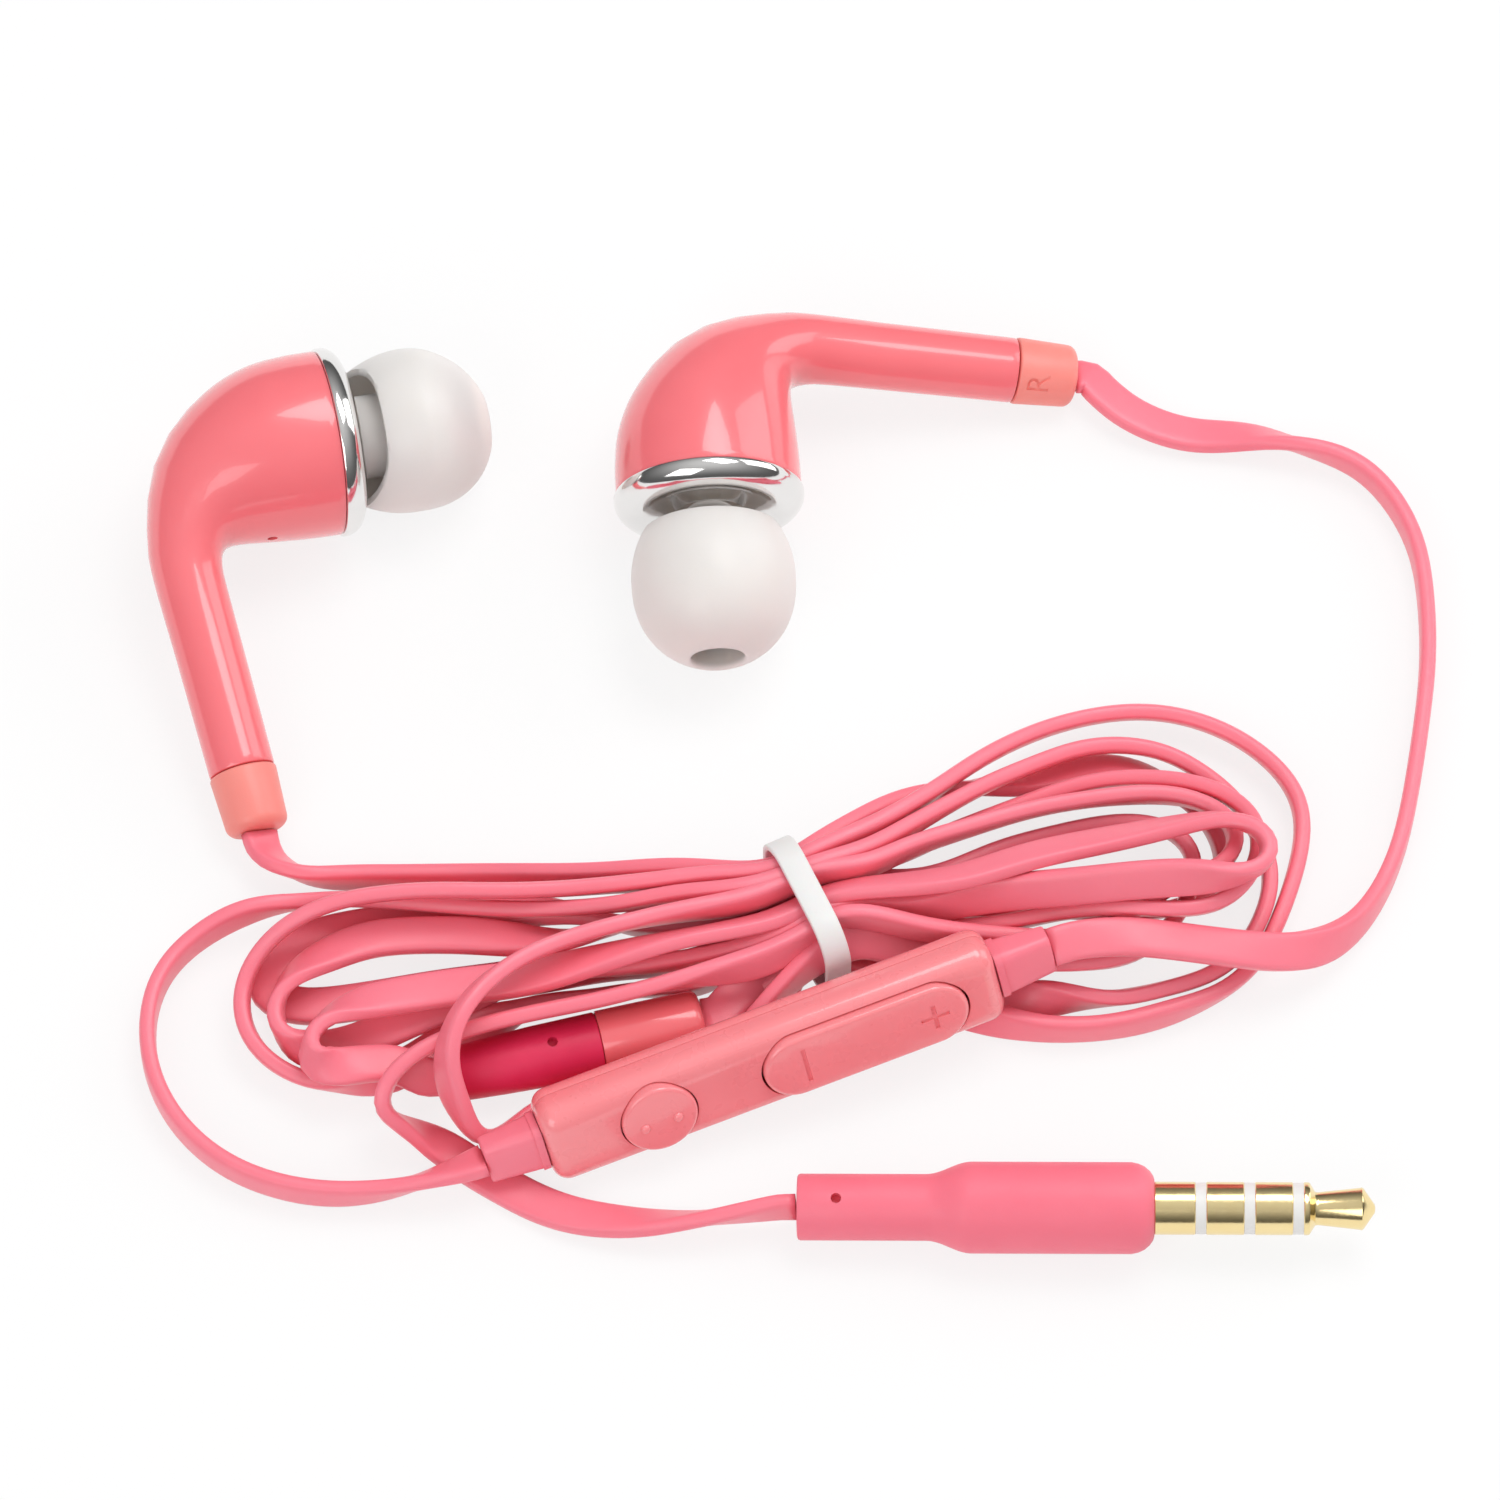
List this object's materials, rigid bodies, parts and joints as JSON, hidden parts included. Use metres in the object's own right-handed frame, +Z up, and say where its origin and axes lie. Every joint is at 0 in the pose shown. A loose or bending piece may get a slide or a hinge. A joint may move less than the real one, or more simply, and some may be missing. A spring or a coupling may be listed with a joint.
{
  "type": "wired earphones",
  "caption": "In-ear earphones with bent stems, silicone tips, a flat cable folded into a tied hank, an inline remote, a splitter and a four-pole jack plug.",
  "frame": {"origin": "on the table, under the middle of the outer limits of the two earpieces", "axes": "+Z up from the table; +Y away from the viewer, from the plug towards the earpieces; +X to the right, from the left earpiece to the right one"},
  "size_m": [0.0877, 0.0689, 0.0131],
  "materials": {
    "coral_plastic": "high gloss",
    "salmon_plastic": "satin",
    "bright_cover": "polished",
    "steel_mesh": "woven",
    "silicone": "milky, satin",
    "dark_plastic": "matt",
    "driver_steel": "plated",
    "magnet": "nickel plated",
    "diaphragm_film": "thin clear amber film",
    "circuit_board": "solder resist",
    "switch_metal": "plated",
    "switch_dome": "plated",
    "black_rubber": "matt",
    "cable_skin": "satin",
    "crimson_relief": "satin",
    "gold_contact": "gold plated",
    "white_insulator": "satin",
    "white_tie": "satin"
  },
  "bodies": {
    "set": {"left_housing": "coral_plastic", "left_stem_boot": "salmon_plastic", "left_front_cover": "bright_cover", "left_nozzle_mesh": "steel_mesh", "left_driver_basket": "dark_plastic", "left_driver_yoke": "driver_steel", "left_driver_magnet": "magnet", "left_driver_plate": "driver_steel", "left_driver_board": "circuit_board", "right_housing": "coral_plastic", "right_stem_boot": "salmon_plastic", "right_front_cover": "bright_cover", "right_nozzle_mesh": "steel_mesh", "right_driver_basket": "dark_plastic", "right_driver_yoke": "driver_steel", "right_driver_magnet": "magnet", "right_driver_plate": "driver_steel", "right_driver_board": "circuit_board", "remote_cover": "coral_plastic", "remote_base": "coral_plastic", "remote_board": "circuit_board", "switch_bodies": "switch_metal", "switch_domes": "switch_dome", "microphone": "switch_metal", "microphone_gasket": "black_rubber", "remote_left_sleeve": "cable_skin", "remote_right_sleeve": "cable_skin", "splitter_shell": "salmon_plastic", "splitter_relief": "crimson_relief", "plug_handle": "cable_skin", "plug_sleeve_contact": "gold_contact", "plug_ring_two": "gold_contact", "plug_ring_one": "gold_contact", "plug_tip_contact": "gold_contact", "plug_insulators": "white_insulator", "cable_tie": "white_tie", "left_lead": "cable_skin", "right_lead": "cable_skin", "remote_lead": "cable_skin", "main_lead": "cable_skin", "cable_hank": "cable_skin"},
    "left_tip": {"left_ear_tip": "silicone"},
    "right_tip": {"right_ear_tip": "silicone"},
    "left_cone": {"left_diaphragm": "diaphragm_film"},
    "right_cone": {"right_diaphragm": "diaphragm_film"},
    "play_key": {"play_button": "coral_plastic"},
    "volume_key": {"volume_rocker": "coral_plastic"}
  },
  "joints": [
    {"name": "left_tip_pull", "type": "slide", "parent": "set", "child": "left_tip", "axis": [0.9691, 0.2273, -0.0958], "range_m": [0, 0.005]},
    {"name": "right_tip_pull", "type": "slide", "parent": "set", "child": "right_tip", "axis": [0.0521, -0.994, -0.0958], "range_m": [0, 0.005]},
    {"name": "left_diaphragm_stroke", "type": "slide", "parent": "set", "child": "left_cone", "axis": [0.9691, 0.2273, -0.0958], "range_m": [-0.00015, 0.00015], "stiffness_N_per_m": 60},
    {"name": "right_diaphragm_stroke", "type": "slide", "parent": "set", "child": "right_cone", "axis": [0.0521, -0.994, -0.0958], "range_m": [-0.00015, 0.00015], "stiffness_N_per_m": 60},
    {"name": "play_press", "type": "slide", "parent": "set", "child": "play_key", "axis": [-0.2856, 0.8608, -0.4213], "range_m": [0, 0.00025], "stiffness_N_per_m": 600},
    {"name": "volume_rock", "type": "hinge", "parent": "set", "child": "volume_key", "pos_m": [0.01655, -0.03492, 0.00566], "axis": [-0.2161, 0.3704, 0.9034], "range_deg": [-2.5, 2.5], "stiffness_Nm_per_rad": 0.02}
  ]
}
